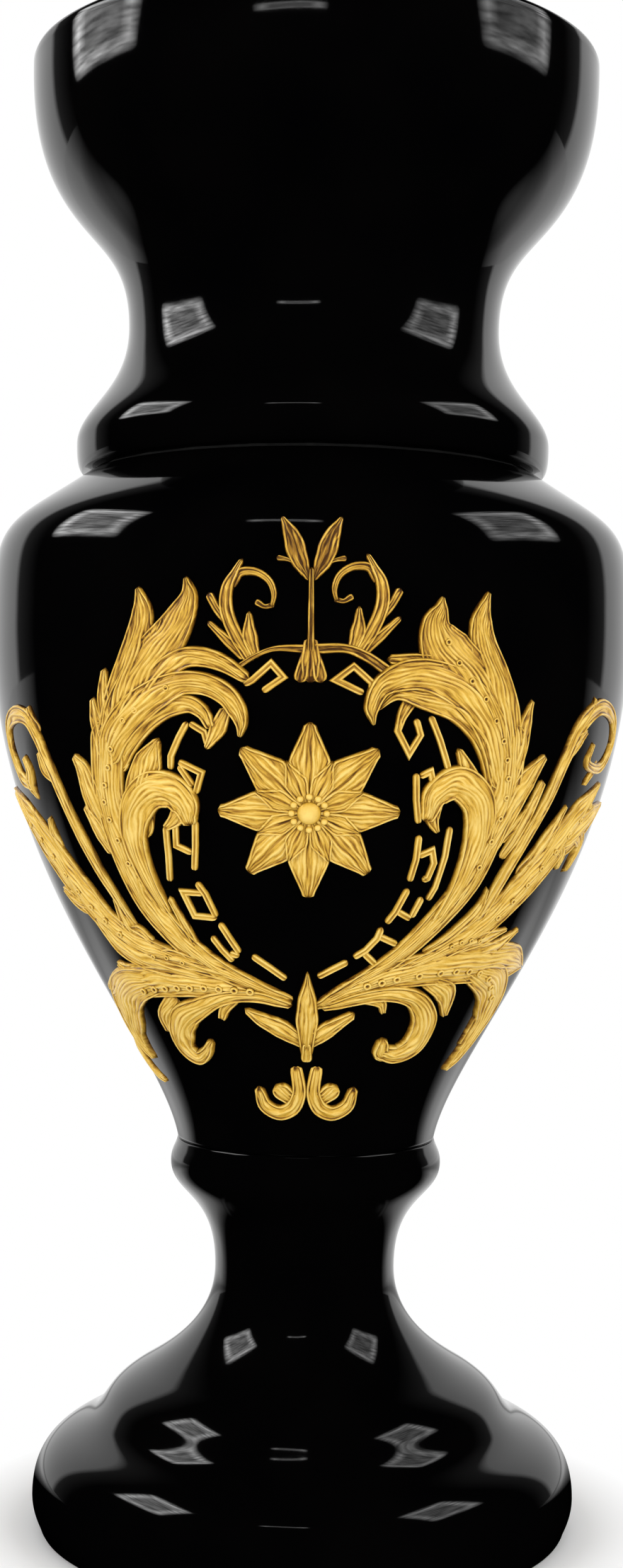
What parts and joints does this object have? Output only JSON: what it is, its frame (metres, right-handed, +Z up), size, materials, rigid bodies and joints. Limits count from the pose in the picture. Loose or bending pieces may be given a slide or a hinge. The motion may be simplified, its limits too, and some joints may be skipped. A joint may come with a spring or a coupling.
{
  "type": "trophy vase",
  "caption": "Tall black gloss vase on a domed foot, with a knopped stem, egg-shaped body, collared neck and wide cup mouth, and raised gilt leaf ornament.",
  "frame": {"origin": "centre of the foot ring, on the table", "axes": "+Z up along the vase's axis to the mouth, -Y towards the viewer at the front ornament, +X to the viewer's right"},
  "size_m": [0.2182, 0.2216, 0.4999],
  "materials": {
    "glaze": "deep black gloss glaze",
    "gold": "satin gilt over a raised relief, with combed lines",
    "rubber": "matt black",
    "steel": "zinc plated"
  },
  "bodies": {
    "root": {"foot_pedestal": "glaze", "clamp_bolt": "steel", "clamp_nut": "steel", "body_washer": "steel", "body_gasket": "rubber", "deck_washer": "steel", "deck_gasket": "rubber", "seat_gasket": "rubber", "neck_seal": "rubber", "body": "glaze", "front_finial": "gold", "front_trefoil": "gold", "front_rosette": "gold", "front_wreath_right": "gold", "front_top_scroll_right": "gold", "front_drop_scroll_right": "gold", "front_key_right_1": "gold", "front_key_right_2": "gold", "front_key_right_3": "gold", "front_key_right_4": "gold", "front_key_right_5": "gold", "front_key_right_6": "gold", "front_key_right_7": "gold", "front_wreath_left": "gold", "front_top_scroll_left": "gold", "front_drop_scroll_left": "gold", "front_key_left_1": "gold", "front_key_left_2": "gold", "front_key_left_3": "gold", "front_key_left_4": "gold", "front_key_left_5": "gold", "front_key_left_6": "gold", "front_key_left_7": "gold", "back_finial": "gold", "back_trefoil": "gold", "back_rosette": "gold", "back_wreath_right": "gold", "back_top_scroll_right": "gold", "back_drop_scroll_right": "gold", "back_key_right_1": "gold", "back_key_right_2": "gold", "back_key_right_3": "gold", "back_key_right_4": "gold", "back_key_right_5": "gold", "back_key_right_6": "gold", "back_key_right_7": "gold", "back_wreath_left": "gold", "back_top_scroll_left": "gold", "back_drop_scroll_left": "gold", "back_key_left_1": "gold", "back_key_left_2": "gold", "back_key_left_3": "gold", "back_key_left_4": "gold", "back_key_left_5": "gold", "back_key_left_6": "gold", "back_key_left_7": "gold", "neck_bowl": "glaze"}
  },
  "joints": []
}
